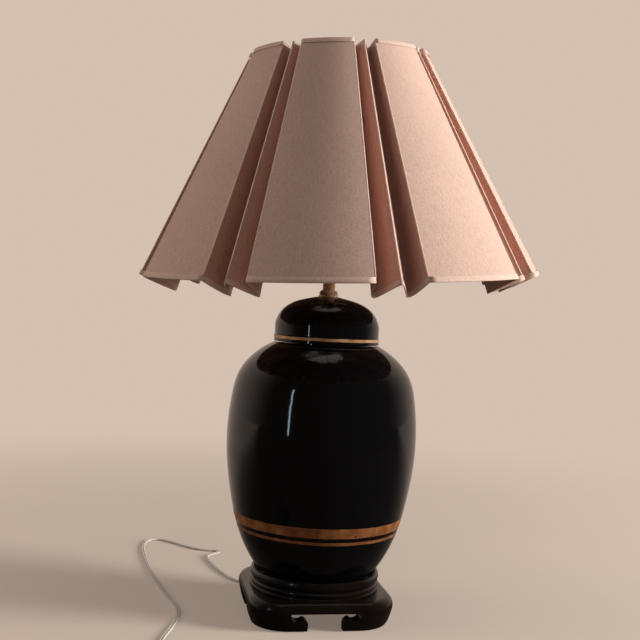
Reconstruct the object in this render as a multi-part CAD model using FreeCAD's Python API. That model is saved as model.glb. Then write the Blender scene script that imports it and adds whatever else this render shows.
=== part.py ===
"""Ginger jar table lamp: turned and carved wooden stand, lidded ceramic jar, lamp pipe and socket,
harp, box-pleated shade, and a flat twin cord with its plug. Millimetres, +Z up. The origin is on the
lamp's axis at the surface it stands on, and the stand's faces look along X and Y."""
import FreeCAD, Part
import math
import os

os.makedirs("parts", exist_ok=True)
V = FreeCAD.Vector
UP = V(0, 0, 1)
ORIGIN = V(0, 0, 0)

# ---- stand -----------------------------------------------------------------------------------
pad_height = 1.0                 # felt under each foot
pad_radius = 8.0
frame_half = 89.8                # half of the frame's width, at its fullest
frame_corner = 40.0              # radius of its corners in plan
frame_fullest_at = 26.0          # height of the fullest section
frame_bottom_tuck = 5.8          # how far the feet draw in below it
frame_top = 36.0                 # the shoulder rounds over to this height, beside the turned ring
web_bottom = 24.5                # underside of the frame's solid top
web_hole_radius = 50.0
apron_thickness = 16.0
cut_height = 23.0                # top of the openings between the feet
cut_half = 42.5                  # half width of an opening, at its top
gap_half = 21.6                  # half of the way out between its two hooks
hook_radius = 6.9
hook_top = 16.4                  # tip of a hook
notch_depth = 2.9                # the scroll behind the tip dips this far below it
ring_seat = 31.0                 # underside of the turned ring
ring_radius = 81.5
ring_top = 56.5
ring_floor = 14.5                # thickness of the plate that carries the jar
ring_lip = 2.1
ring_foot = 2.2                  # plain height under the lowest bead
bead_depth = 1.9
bead_heights = [4.6, 5.6, 11.0]  # from the lowest bead up
bead_groove = 0.7
gasket_height = 1.0
screw_radius = 2.0
screw_head_radius = 4.0
screw_head_height = 2.4
screw_circle = 62.0
screw_bite = 5.0                 # how far a screw goes into the ring's plate

# ---- jar and lid -----------------------------------------------------------------------------
jar_radius = 120.0
jar_height = 294.0               # foot to shoulder seat
jar_foot_radius = 66.0
jar_wall = 5.0
lid_radius = 66.2
lid_skirt = 22.0                 # straight part of the lid's side
lid_height = 58.0
lid_wall = 4.0
lid_gap = 1.5                    # between the lid's rim and the jar's shoulder, filled by glaze
neck_radius = 56.0               # jar's neck, inside the lid
neck_height = 22.0
neck_wall = 4.5

# ---- pipe, neck and socket -------------------------------------------------------------------
pipe_radius = 5.1
pipe_bore = 3.6
pipe_tail = 9.0                  # pipe below the washer's seat
nut_pocket = 4.0                 # depth of the pocket under the ring for washer and nut
nut_pocket_radius = 18.0
thread_gap = 0.05
hole_gap = 0.4
washer_radius = 16.0
washer_height = 2.0
lock_washer_radius = 9.5
lock_washer_height = 1.0
nut_flat = 8.5                   # half of the nut's width across flats
nut_height = 4.5
check_ring_radius = 12.6
check_ring_height = 8.2
neck_tube_radius = 7.95
neck_tube_length = 25.0
saddle_height = 1.6
saddle_width = 12.0
saddle_reach = 28.5              # axis to each of the harp's legs
saddle_rise = 13.0
locknut_height = 3.0
cap_radius = 17.0
cap_height = 17.0
cap_sheet = 0.8
set_screw_radius = 1.5
set_screw_stand = 2.0            # how far its head stands out of the turret
shell_length = 46.0
shell_lap = 6.0                  # the shell sits this far down over the cap
liner_sheet = 0.7
interior_radius = 13.2
interior_height = 16.0
bulb_thread_radius = 12.9        # standard medium screw
screw_shell_sheet = 0.4
knob_height = 12.0               # knob's axis above the interior's underside
knob_radius = 4.2
knob_length = 14.0
knob_shaft_radius = 1.6
running_gap = 0.06

# ---- bulb ------------------------------------------------------------------------------------
bulb_radius = 30.0
bulb_length = 84.0               # glass alone
bulb_cap_length = 25.0

# ---- harp and shade fittings -----------------------------------------------------------------
harp_wire = 1.6
harp_half_width = 54.0
harp_headroom = 56.7             # from the bulb's top to the boss that the shade's hub rests on
stud_radius = 3.175
stud_length = 14.0
boss_radius = 5.5
boss_height = 12.0
ferrule_radius = 3.2
ferrule_length = 12.0
hub_radius = 14.0
hub_height = 2.0
finial_radius = 8.0
finial_height = 30.0

# ---- shade -----------------------------------------------------------------------------------
panel_count = 8
panel_half_angle = 15.8
shade_turn = -18.85              # middle of the front panel, from -Y towards +X
shade_lean = 5.0                 # the shade sits crooked on its seat, as old shades do
shade_lean_toward = 223.6        # direction it leans in, from +X
shade_bottom_radius = 251.5
shade_top_radius = 110.0
shade_height = 275.0
shade_recess = 56.0              # top edge above the hub's seat
card = 1.0                       # thickness of the laminated fabric
fold_share = 0.84                # radius of the inner folds, as a share of the outer edge
fold_angle = 6.0                 # inner folds to the ridge between them
ridge_share = 0.983
binding_width = 6.0
binding_sheet = 0.6
binding_gap = 0.05
frame_wire = 1.5
low_wire_rise = 32.0             # the wire rings lie this far inside the shade's edges
high_wire_drop = 8.0
spider_arms = 3

# ---- cord and plug ---------------------------------------------------------------------------
cord_diameter = 5.2              # width of the flat twin cord
cord_floor = cord_diameter / 2
bushing_lip_radius = 6.4
bushing_lip = 1.5
bushing_sleeve = 6.0
cord_gap = 0.15
first_bend = 3 * cord_diameter   # the limp flex turns this tightly under the pipe
coil_centre = V(-238.0, -200.0, 0)
coil_radius = 37.7
coil_pitch = 6.5
coil_turns_in = 2.25
coil_turns_lift = 0.25
coil_turns_out = 1.75
coil_lift = 6.2
tail_level = 18.0
tail_drop = 34.0
plug_length = 26.0
plug_width = 20.0
plug_height = 10.0
blade_spacing = 12.7
blade_length = 16.0
blade_width = 6.3
blade_sheet = 1.5


# ---- shared geometry -------------------------------------------------------------------------
def save(shape, name):
    shape.exportStep("parts/" + name + ".step")
    print(name, "solids", len(shape.Solids), "volume", round(shape.Volume), "valid", shape.isValid())


def polar(radius, degrees, z=0.0):
    angle = math.radians(degrees)
    return V(radius * math.cos(angle), radius * math.sin(angle), z)


def turned(points, degrees=360):
    """Solid of revolution about Z from a closed outline of (radius, height) corners."""
    corners = [V(radius, 0, height) for radius, height in points]
    outline = Part.makePolygon(corners + [corners[0]])
    return Part.Face(outline).revolve(ORIGIN, UP, degrees)


def turned_from_edges(edges):
    return Part.Face(Part.Wire(edges)).revolve(ORIGIN, UP, 360)


def smooth_edge(points):
    curve = Part.BSplineCurve()
    curve.interpolate([V(radius, 0, height) for radius, height in points])
    return curve.toShape()


def line_edges(points):
    corners = [V(radius, 0, height) for radius, height in points]
    return [Part.makeLine(a, b) for a, b in zip(corners, corners[1:])]


def tube_ring(inner, outer, bottom, height):
    outside = Part.makeCylinder(outer, height, V(0, 0, bottom))
    return outside.cut(Part.makeCylinder(inner, height, V(0, 0, bottom)))


def hexagon(half_flat, bottom, height):
    across = half_flat / math.cos(math.radians(30))
    corners = [polar(across, 60 * i, bottom) for i in range(7)]
    return Part.Face(Part.makePolygon(corners)).extrude(V(0, 0, height))


def rounded_square(half, corner, z):
    """Plan outline of four straight sides and four quarter arcs."""
    edges = []
    middle = half - corner
    for quarter in range(4):
        turn = FreeCAD.Rotation(UP, 90 * quarter)
        start = turn.multVec(V(half, middle, z))
        bend = turn.multVec(V(middle + corner * math.sqrt(0.5), middle + corner * math.sqrt(0.5), z))
        end = turn.multVec(V(middle, half, z))
        after = turn.multVec(V(-middle, half, z))
        edges.append(Part.Arc(start, bend, end).toShape())
        edges.append(Part.makeLine(end, after))
    return Part.Wire(edges)


def bent_path(points, first_radius=None):
    """Straight runs joined by tangent arcs, as large as the two runs allow unless the first is given."""
    edges = []
    radii = []
    start = points[0]
    for before, corner, after in zip(points, points[1:], points[2:]):
        back = (before - corner).normalize()
        ahead = (after - corner).normalize()
        half_turn = (math.pi - back.getAngle(ahead)) / 2
        shorter = min((before - corner).Length, (after - corner).Length)
        setback = 0.45 * shorter
        if first_radius is not None and corner is points[1]:
            setback = first_radius * math.tan(half_turn)
        radius = setback / math.tan(half_turn)
        radii.append(radius)
        arc_start = corner + back * setback
        arc_end = corner + ahead * setback
        bisector = (back + ahead).normalize()
        centre = corner + bisector * (radius / math.cos(half_turn))
        middle = centre - bisector * radius
        edges.append(Part.makeLine(start, arc_start))
        edges.append(Part.Arc(arc_start, middle, arc_end).toShape())
        start = arc_end
    edges.append(Part.makeLine(start, points[-1]))
    return Part.Wire(edges), radii


def pipe_along(path, radius):
    first = path.OrderedEdges[0]
    tangent = first.tangentAt(first.FirstParameter)
    section = Part.Wire(Part.makeCircle(radius, first.valueAt(first.FirstParameter), tangent))
    return path.makePipeShell([section], True, False)


def polyhedron(lower, upper):
    """Solid between two closed loops of as many corners each, whose ends are strips of their halves."""
    count = len(lower)
    triangles = []
    for i in range(count):
        j = (i + 1) % count
        triangles.append((lower[i], lower[j], upper[j]))
        triangles.append((lower[i], upper[j], upper[i]))
    for loop in (lower, upper):
        for i in range(count // 2 - 1):
            a, b = loop[i], loop[i + 1]
            c, d = loop[count - 2 - i], loop[count - 1 - i]
            triangles.append((a, b, c))
            triangles.append((a, c, d))
    faces = [Part.Face(Part.makePolygon([a, b, c, a])) for a, b, c in triangles]
    solid = Part.Solid(Part.makeShell(faces))
    if solid.Volume < 0:
        solid.reverse()
    return solid


# ---- stand -----------------------------------------------------------------------------------
foot_half = frame_half - frame_bottom_tuck
foot_corner = frame_corner + 2.0
cavity_half = frame_half - apron_thickness
cavity_corner = frame_corner + 15.0


def corner_reach(half, corner):
    """Distance from the middle of a rounded square to its corner."""
    return (half - corner) * math.sqrt(2) + corner


def opening_outline():
    """The scrolled opening between two feet, across X and up Z, as a closed face on the XZ plane."""
    tip_x = gap_half + hook_radius
    hook_bend = hook_radius * math.sqrt(0.5)
    hook_low = hook_top - hook_radius
    notch_end = hook_top + 0.9 * notch_depth
    sides = []
    for side in (1, -1):
        gap_foot = V(side * gap_half, 0, -1)
        gap_end = V(side * gap_half, 0, hook_low)
        bend = V(side * (tip_x - hook_bend), 0, hook_low + hook_bend)
        tip = V(side * tip_x, 0, hook_top)
        dip = V(side * (tip_x + cut_half) / 2, 0, hook_top - notch_depth)
        notch = V(side * cut_half, 0, notch_end)
        corner = V(side * cut_half, 0, cut_height)
        sides.append([
            Part.makeLine(gap_foot, gap_end), Part.Arc(gap_end, bend, tip).toShape(),
            Part.Arc(tip, dip, notch).toShape(), Part.makeLine(notch, corner)])
    top = Part.makeLine(V(cut_half, 0, cut_height), V(-cut_half, 0, cut_height))
    bottom = Part.makeLine(V(-gap_half, 0, -1), V(gap_half, 0, -1))
    return Part.Face(Part.Wire(sides[0] + [top] + list(reversed(sides[1])) + [bottom]))


def stand_frame():
    """Cushion-shaped block on four feet, hollow below, with a round seat for the turned ring."""
    shoulder = frame_top - frame_fullest_at
    sections = [
        (foot_half, foot_corner, pad_height),
        (frame_half - 2.8, frame_corner + 1.0, frame_fullest_at * 0.35),
        (frame_half - 0.8, frame_corner, frame_fullest_at * 0.7),
        (frame_half, frame_corner, frame_fullest_at),
        (frame_half - 1.3, frame_corner, frame_fullest_at + shoulder * 0.5),
        (frame_half - 3.8, frame_corner, frame_fullest_at + shoulder * 0.85),
        (frame_half - 6.8, frame_corner, frame_top),
    ]
    block = Part.makeLoft([rounded_square(*section) for section in sections], True, False)
    cavity = Part.Face(rounded_square(cavity_half, cavity_corner, 0)).extrude(V(0, 0, web_bottom))
    ring_space = Part.makeCylinder(ring_radius + thread_gap, frame_top, V(0, 0, ring_seat))
    web_hole = Part.makeCylinder(web_hole_radius, ring_seat + 1, V(0, 0, 0))
    frame = block.cut([cavity, ring_space, web_hole])
    reach = 2 * frame_half
    for quarter in range(2):
        slot = opening_outline().extrude(V(0, 2 * reach, 0))
        slot.translate(V(0, -reach, 0))
        slot.rotate(ORIGIN, UP, 90 * quarter)
        frame = frame.cut(slot)
    for i in range(4):
        frame = frame.cut(frame_screw(45 + 90 * i, thread_gap))
    return frame


def frame_screw(degrees, gap=0.0):
    place = polar(screw_circle, degrees, web_bottom)
    head = Part.makeCone(screw_head_radius + gap, screw_radius + gap, screw_head_height, place)
    shank = Part.makeCylinder(screw_radius + gap, ring_seat + screw_bite - web_bottom, place)
    return head.fuse(shank).removeSplitter()


def frame_screws():
    return Part.makeCompound([frame_screw(45 + 90 * i) for i in range(4)])


def felt_pads():
    outer = corner_reach(foot_half, foot_corner)
    middle = (outer + corner_reach(cavity_half, cavity_corner)) / 2
    places = [polar(middle, 45 + 90 * i) for i in range(4)]
    return Part.makeCompound([Part.makeCylinder(pad_radius, pad_height, place) for place in places])


def stand_ring():
    """Turned ring with three beads one over another, and a recess that holds the jar's foot."""
    face = ring_radius - bead_depth
    floor_top = ring_seat + ring_floor
    lip_inner = face - ring_lip
    edges = line_edges([(pipe_radius + hole_gap, ring_seat), (face, ring_seat)])
    below = ring_seat
    low = ring_seat + ring_foot
    for height in bead_heights:
        high = low + height
        edges += line_edges([(face, below), (face, low)])
        fullest = V(ring_radius, 0, (low + high) / 2)
        edges.append(Part.Arc(V(face, 0, low), fullest, V(face, 0, high)).toShape())
        below = high
        low = high + bead_groove
    edges += line_edges([
        (face, below), (face, ring_top), (lip_inner, ring_top), (lip_inner, floor_top),
        (pipe_radius + hole_gap, floor_top), (pipe_radius + hole_gap, ring_seat)])
    ring = turned_from_edges(edges)
    for i in range(4):
        ring = ring.cut(frame_screw(45 + 90 * i, thread_gap))
    return ring.cut(Part.makeCylinder(nut_pocket_radius, nut_pocket, V(0, 0, ring_seat)))


def jar_gasket():
    return tube_ring(pipe_radius + hole_gap, jar_foot_radius - 2, ring_seat + ring_floor, gasket_height)


# ---- jar and lid -----------------------------------------------------------------------------
jar_bottom = ring_seat + ring_floor + gasket_height
washer_seat = ring_seat + nut_pocket
shoulder_height = jar_bottom + jar_height
lid_bottom = shoulder_height + lid_gap
lid_top = lid_bottom + lid_height


def jar_outline(inset):
    """Side of the jar from foot to shoulder; inset moves it in by the wall's thickness."""
    belly = [
        (0.703, 0.082), (0.842, 0.201), (0.9375, 0.354), (1.0, 0.575), (0.97, 0.762),
        (0.895, 0.874), (0.771, 0.939),
    ]
    points = [(jar_foot_radius - inset, jar_bottom + inset)]
    for radius_share, height_share in belly:
        points.append((jar_radius * radius_share - inset, jar_bottom + jar_height * height_share))
    points.append((lid_radius - inset, shoulder_height - inset))
    return points


def jar():
    outside = jar_outline(0)
    inside = jar_outline(jar_wall)
    neck_top = shoulder_height + neck_height
    edges = [smooth_edge(outside)]
    edges += line_edges([
        outside[-1], (neck_radius, shoulder_height), (neck_radius, neck_top),
        (neck_radius - neck_wall, neck_top), (neck_radius - neck_wall, inside[-1][1]), inside[-1]])
    edges.append(smooth_edge(list(reversed(inside))))
    hole = pipe_radius + hole_gap
    edges += line_edges([inside[0], (hole, jar_bottom + jar_wall), (hole, jar_bottom), outside[0]])
    return turned_from_edges(edges)


def lid_outline(inset):
    """Lid's side and crown, from the rim to the flat that the check ring stands on."""
    crown = lid_height - lid_skirt
    shares = [(0.952, 0.27), (0.884, 0.47), (0.77, 0.66), (0.6, 0.82), (0.39, 0.93)]
    points = [(lid_radius - inset, lid_bottom + lid_skirt)]
    for radius_share, height_share in shares:
        height = lid_bottom + lid_skirt + crown * height_share
        points.append((lid_radius * radius_share - inset, height - inset / 2))
    points.append((check_ring_radius + 1, lid_top - inset))
    return points


def lid():
    outside = lid_outline(0)
    inside = lid_outline(lid_wall)
    hole = pipe_radius + hole_gap
    rim = lid_radius + 0.6
    edges = line_edges([
        (lid_radius - lid_wall, lid_bottom), (rim, lid_bottom), (rim, lid_bottom + 7.0),
        (lid_radius, lid_bottom + 8.5), outside[0]])
    edges.append(smooth_edge(outside))
    edges += line_edges([outside[-1], (hole, lid_top), (hole, lid_top - lid_wall), inside[-1]])
    edges.append(smooth_edge(list(reversed(inside))))
    edges += line_edges([inside[0], (lid_radius - lid_wall, lid_bottom)])
    return turned_from_edges(edges)


# ---- pipe, neck and socket -------------------------------------------------------------------
neck_bottom = lid_top + check_ring_height
neck_top = neck_bottom + neck_tube_length
saddle_top = neck_top + saddle_height
cap_bottom = saddle_top + locknut_height
cap_top = cap_bottom + cap_height
shell_bottom = cap_top - shell_lap
shell_top = shell_bottom + shell_length
interior_bottom = cap_top
interior_top = interior_bottom + interior_height
pipe_top = cap_bottom + 8.0
pipe_bottom = washer_seat - pipe_tail
knob_axis_height = interior_bottom + knob_height
cap_turret = pipe_radius + 3.4
shell_radius = cap_radius + thread_gap + cap_sheet
set_screw_height = cap_bottom + 3.2


def lamp_pipe():
    return tube_ring(pipe_bore, pipe_radius, pipe_bottom, pipe_top - pipe_bottom)


def base_washer():
    return tube_ring(pipe_radius + hole_gap, washer_radius, washer_seat - washer_height, washer_height)


def base_lock_washer():
    bottom = washer_seat - washer_height - lock_washer_height
    return tube_ring(pipe_radius + hole_gap, lock_washer_radius, bottom, lock_washer_height)


def base_nut():
    bottom = washer_seat - washer_height - lock_washer_height - nut_height
    bore = Part.makeCylinder(pipe_radius + thread_gap, nut_height, V(0, 0, bottom))
    return hexagon(nut_flat, bottom, nut_height).cut(bore)


def check_ring():
    hole = pipe_radius + hole_gap
    step = check_ring_height / 4
    return turned([
        (hole, lid_top), (check_ring_radius, lid_top), (check_ring_radius, lid_top + step),
        (check_ring_radius - 1.2, lid_top + step), (check_ring_radius - 0.4, lid_top + 2 * step),
        (check_ring_radius - 1.4, lid_top + 3 * step), (check_ring_radius - 3.2, neck_bottom),
        (hole, neck_bottom)])


def neck_tube():
    return tube_ring(pipe_radius + thread_gap, neck_tube_radius, neck_bottom, neck_tube_length)


def harp_saddle():
    """Bent strap with a round post at each end, which the harp's legs stand on."""
    corner = V(-saddle_reach, -saddle_width / 2, neck_top)
    strap = Part.makeBox(2 * saddle_reach, saddle_width, saddle_height, corner)
    pieces = []
    for side in (1, -1):
        pieces.append(Part.makeCylinder(saddle_width / 2, saddle_height, V(side * saddle_reach, 0, neck_top)))
        pieces.append(Part.makeCylinder(harp_wire + 1.0, saddle_rise, V(side * saddle_reach, 0, neck_top)))
    saddle = strap.fuse(pieces).removeSplitter()
    bore = Part.makeCylinder(pipe_radius + thread_gap, 3 * saddle_height, V(0, 0, neck_top - saddle_height))
    return saddle.cut(bore)


def saddle_locknut():
    bore = Part.makeCylinder(pipe_radius + thread_gap, locknut_height, V(0, 0, saddle_top))
    return hexagon(nut_flat, saddle_top, locknut_height).cut(bore)


def socket_cap():
    """Pressed brass cap: threaded turret round the pipe, then a bell that the shell slips over."""
    flare = cap_bottom + 7.0
    inner = cap_turret - 1.2
    outer = cap_radius
    cap = turned([
        (pipe_radius + thread_gap, cap_bottom), (cap_turret, cap_bottom), (cap_turret, flare - 1),
        (outer, flare + 4), (outer, cap_top), (outer - cap_sheet, cap_top), (outer - cap_sheet, flare + 4.6),
        (inner, flare + 1.2), (pipe_radius + thread_gap, flare + 1.2)])
    hole = Part.makeCylinder(set_screw_radius + thread_gap, cap_radius, V(0, 0, set_screw_height), V(1, 0, 0))
    return cap.cut(hole)


def set_screw():
    start = pipe_radius + thread_gap
    length = cap_turret - start + set_screw_stand
    return Part.makeCylinder(set_screw_radius, length, V(start, 0, set_screw_height), V(1, 0, 0))


def socket_interior():
    """Moulded block that holds the switch, with a bore for the knob's shaft."""
    block = Part.makeCylinder(interior_radius, interior_height, V(0, 0, interior_bottom))
    depth = interior_radius - 3
    shaft_start = V(0, -3, knob_axis_height)
    bore = Part.makeCylinder(knob_shaft_radius + running_gap, interior_radius, shaft_start, V(0, -1, 0))
    contact = Part.makeCylinder(3.0 + thread_gap, 2.0, V(0, 0, interior_top - 2.0))
    screws = [terminal_screw(side, thread_gap) for side in (1, -1)]
    wire_way = Part.makeCylinder(pipe_bore, depth - 2, V(0, 0, interior_bottom))
    return block.cut([bore, contact, wire_way] + screws)


def terminal_screw(side, gap=0.0):
    start = V(side * (interior_radius - 4.0), 0, interior_bottom + 5.0)
    shank = Part.makeCylinder(1.6 + gap, 4.0, start, V(side, 0, 0))
    head = Part.makeCylinder(2.9, 1.2, V(side * interior_radius, 0, interior_bottom + 5.0), V(side, 0, 0))
    return shank.fuse(head)


def terminal_screws():
    return Part.makeCompound([terminal_screw(side) for side in (1, -1)])


def screw_shell():
    """Threaded lamp-holder shell, stood on the interior block."""
    height = shell_top - 3.0 - interior_top
    inner = bulb_thread_radius + 0.5
    return tube_ring(inner, inner + screw_shell_sheet, interior_top, height)


def centre_contact():
    return Part.makeCylinder(3.0, 3.0, V(0, 0, interior_top - 2.0))


def knob_slot(radius):
    return Part.makeCylinder(radius, 2 * shell_radius, V(0, 0, knob_axis_height), V(0, -1, 0))


def socket_liner():
    outer = shell_radius - cap_sheet - 0.1
    liner = tube_ring(outer - liner_sheet, outer, cap_top + 0.2, shell_top - 0.5 - cap_top)
    return liner.cut(knob_slot(knob_shaft_radius + 1.2))


def socket_shell():
    shell = tube_ring(cap_radius + thread_gap, shell_radius, shell_bottom, shell_length)
    return shell.cut(knob_slot(knob_shaft_radius + 1.2))


def switch_shaft():
    length = shell_radius + 3.0
    return Part.makeCylinder(knob_shaft_radius, length, V(0, -4, knob_axis_height), V(0, -1, 0))


def switch_knob():
    """Ribbed turn knob, pressed on the end of its shaft."""
    start = shell_radius + 1.0
    axis_point = V(0, -start, knob_axis_height)
    knob = Part.makeCone(knob_radius, knob_radius - 0.7, knob_length, axis_point, V(0, -1, 0))
    wings = Part.makeBox(2 * knob_radius + 5, knob_length - 5, 3.0,
                         V(-knob_radius - 2.5, -start - knob_length, knob_axis_height - 1.5))
    knob = knob.fuse(wings).removeSplitter()
    bore = Part.makeCylinder(knob_shaft_radius, shell_radius + 7.0, V(0, 0, knob_axis_height), V(0, -1, 0))
    return knob.cut(bore)


# ---- bulb ------------------------------------------------------------------------------------
bulb_tip = interior_top + 1.0
bulb_cap_top = bulb_tip + bulb_cap_length
bulb_top = bulb_cap_top + bulb_length
seat_height = bulb_top + harp_headroom + boss_height


def bulb_cap():
    """Screw cap with a rolled thread, closed at the foot by its contact."""
    points = [(0, bulb_tip), (4.5, bulb_tip), (8.5, bulb_tip + 3.0)]
    pitch = 3.6
    for i in range(5):
        z = bulb_tip + 3.5 + pitch * i
        points.append((bulb_thread_radius - 1.2, z))
        points.append((bulb_thread_radius, z + pitch / 2))
    points += [(bulb_thread_radius - 1.2, bulb_cap_top), (0, bulb_cap_top)]
    return turned(points)


def bulb_glass():
    ball_height = bulb_top - bulb_radius
    neck = bulb_thread_radius - 0.4
    crown = V(bulb_radius * math.sqrt(0.5), 0, ball_height + bulb_radius * math.sqrt(0.5))
    edges = [smooth_edge([
        (neck, bulb_cap_top), (neck + 1.5, bulb_cap_top + 14), (bulb_radius * 0.78, ball_height - 18),
        (bulb_radius, ball_height)])]
    edges.append(Part.Arc(V(bulb_radius, 0, ball_height), crown, V(0, 0, bulb_top)).toShape())
    edges += line_edges([(0, bulb_top), (0, bulb_cap_top), (neck, bulb_cap_top)])
    return turned_from_edges(edges)


# ---- harp and finial -------------------------------------------------------------------------
leg_bottom = neck_top + saddle_rise
harp_top = seat_height - boss_height + 3.0


def leaning(shape):
    """Tip a piece of the shade or its seat by the shade's lean, about the seat."""
    leaned = shape.copy()
    across = polar(1, shade_lean_toward + 90)
    leaned.rotate(ORIGIN, across, shade_lean)
    leaned.translate(V(0, 0, seat_height))
    return leaned


def harp():
    """One wire, bowed round the bulb, with the threaded stud that carries the shade."""
    wide_low = leg_bottom + 52
    wide_high = seat_height - 65
    half = [(saddle_reach, leg_bottom), (saddle_reach, leg_bottom + 22), (harp_half_width, wide_low),
            (harp_half_width, wide_high), (harp_half_width * 0.4, harp_top)]
    left = [V(-x, 0, z) for x, z in half]
    right = [V(x, 0, z) for x, z in reversed(half)]
    path, radii = bent_path(left + right)
    wire = pipe_along(path, harp_wire)
    boss = leaning(Part.makeCylinder(boss_radius, boss_height, V(0, 0, -boss_height)))
    stud = leaning(Part.makeCylinder(stud_radius, stud_length + 2, V(0, 0, -2)))
    return wire.fuse([boss, stud]).removeSplitter()


def harp_ferrule(side):
    """Loose sleeve over the joint of leg and saddle post."""
    foot = V(side * saddle_reach, 0, saddle_top + 1.0)
    sleeve = Part.makeCylinder(ferrule_radius + 0.6, ferrule_length, foot)
    bore = Part.makeCylinder(harp_wire + 1.0 + running_gap, ferrule_length, foot)
    return sleeve.cut(bore)


def finial():
    """Turned knob that holds the shade down, threaded on the stud."""
    foot = hub_height + 0.1
    bore = stud_radius + running_gap
    bore_end = stud_length + 1.0
    waist = finial_radius * 0.45
    ball_low = foot + finial_height * 0.4
    top = foot + finial_height
    edges = line_edges([
        (0, bore_end), (bore, bore_end), (bore, foot), (finial_radius, foot), (finial_radius, foot + 2.5),
        (finial_radius * 0.7, foot + 4.0), (waist + 1.5, ball_low)])
    ball_high = ball_low + 14
    fullest = V(finial_radius, 0, ball_low + 7.5)
    edges.append(Part.Arc(V(waist + 1.5, 0, ball_low), fullest, V(waist, 0, ball_high)).toShape())
    edges += line_edges([(waist, ball_high), (1.5, top), (0, top), (0, bore_end)])
    return leaning(turned_from_edges(edges))


# ---- shade, in a frame of its own with the hub's seat at the origin --------------------------
shade_low = shade_recess - shade_height
apex_height = shade_low + shade_bottom_radius * shade_height / (shade_bottom_radius - shade_top_radius)
slant_low = math.hypot(shade_bottom_radius, apex_height - shade_low)
slant_high = math.hypot(shade_top_radius, apex_height - shade_recess)
panel_pitch = 360.0 / panel_count
corner_angle = panel_pitch / 2 - panel_half_angle


def edge_radius(slant):
    return slant * shade_bottom_radius / slant_low


def on_sheet(point, slant):
    """Lift a plan point to the pleated sheet, whose points lie at one distance from the cone's apex."""
    return V(point.x, point.y, apex_height - math.sqrt(slant ** 2 - point.x ** 2 - point.y ** 2))


def panel_sector(outer_gap, thickness, slant_a, slant_b, half_angle):
    """Part of a cone, outside or inside the outer surface by outer_gap, about the -Y direction."""
    corners = []
    for slant, gap in ((slant_a, outer_gap), (slant_b, outer_gap),
                       (slant_b, outer_gap - thickness), (slant_a, outer_gap - thickness)):
        radius = edge_radius(slant)
        corners.append((radius + gap, apex_height - math.sqrt(slant ** 2 - radius ** 2)))
    sector = turned(corners, 2 * half_angle)
    sector.rotate(ORIGIN, UP, -90 - half_angle)
    return sector


def gore_line(slant, inset):
    """The folded line between two panels at one slant distance, moved towards the shade's inside."""
    radius = edge_radius(slant)
    start = radius - card
    line = [
        polar(start, -90 - corner_angle), polar(radius * fold_share, -90 - fold_angle),
        polar(radius * ridge_share, -90), polar(radius * fold_share, -90 + fold_angle),
        polar(start, -90 + corner_angle)]
    normals = []
    for a, b in zip(line, line[1:]):
        along = (b - a).normalize()
        normals.append(V(-along.y, along.x, 0))
    moved = [line[0] + normals[0] * inset]
    for first, point, second in zip(normals, line[1:], normals[1:]):
        bisector = (first + second).normalize()
        moved.append(point + bisector * (inset / bisector.dot(first)))
    moved.append(line[-1] + normals[-1] * inset)
    return [on_sheet(point, slant) for point in moved]


def gore_solid(slant_a, slant_b, inset_a, inset_b):
    lower = gore_line(slant_a, inset_a) + list(reversed(gore_line(slant_a, inset_b)))
    upper = gore_line(slant_b, inset_a) + list(reversed(gore_line(slant_b, inset_b)))
    return polyhedron(lower, upper)


def turned_to(shape, degrees):
    placed = shape.copy()
    placed.rotate(ORIGIN, UP, degrees)
    return placed


def shade_panel(index):
    panel = panel_sector(0, card, slant_low, slant_high, panel_half_angle)
    return leaning(turned_to(panel, shade_turn + panel_pitch * index))


def shade_gore(index):
    gore = gore_solid(slant_low, slant_high, 0, card)
    return leaning(turned_to(gore, shade_turn + panel_pitch * (index + 0.5)))


def shade_binding(slant_a, slant_b):
    """Folded strips along one edge of every panel and gore, on the outside."""
    strips = []
    for index in range(panel_count):
        strip = panel_sector(binding_sheet + binding_gap, binding_sheet, slant_a, slant_b, panel_half_angle)
        strips.append(leaning(turned_to(strip, shade_turn + panel_pitch * index)))
        fold = gore_solid(slant_a, slant_b, -binding_sheet - binding_gap, -binding_gap)
        strips.append(leaning(turned_to(fold, shade_turn + panel_pitch * (index + 0.5))))
    return Part.makeCompound(strips)


def ring_at(slant):
    """Radius and height of a wire ring that lies against the inner folds at one slant distance."""
    fold = gore_line(slant, card)[1]
    radius = math.hypot(fold.x, fold.y) - frame_wire - 0.3
    return radius, fold.z


low_ring_radius, low_ring_height = ring_at(slant_low - low_wire_rise)
high_ring_radius, high_ring_height = ring_at(slant_high + high_wire_drop)


def shade_bottom_frame():
    return leaning(Part.makeTorus(low_ring_radius, frame_wire, V(0, 0, low_ring_height)))


def shade_top_frame():
    """Upper ring, and the arms that join it to the hub on the harp."""
    ring = Part.makeTorus(high_ring_radius, frame_wire, V(0, 0, high_ring_height))
    hub = tube_ring(stud_radius + running_gap, hub_radius, 0, hub_height)
    arms = []
    for i in range(spider_arms):
        degrees = 360.0 / spider_arms * i + 30
        start = polar(hub_radius - 2, degrees, hub_height / 2 + 0.4)
        knee = polar(high_ring_radius * 0.55, degrees, hub_height + 3)
        end = polar(high_ring_radius, degrees, high_ring_height)
        path, radii = bent_path([start, knee, end])
        arms.append(pipe_along(path, frame_wire))
    return leaning(ring.fuse([hub] + arms).removeSplitter())


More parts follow.
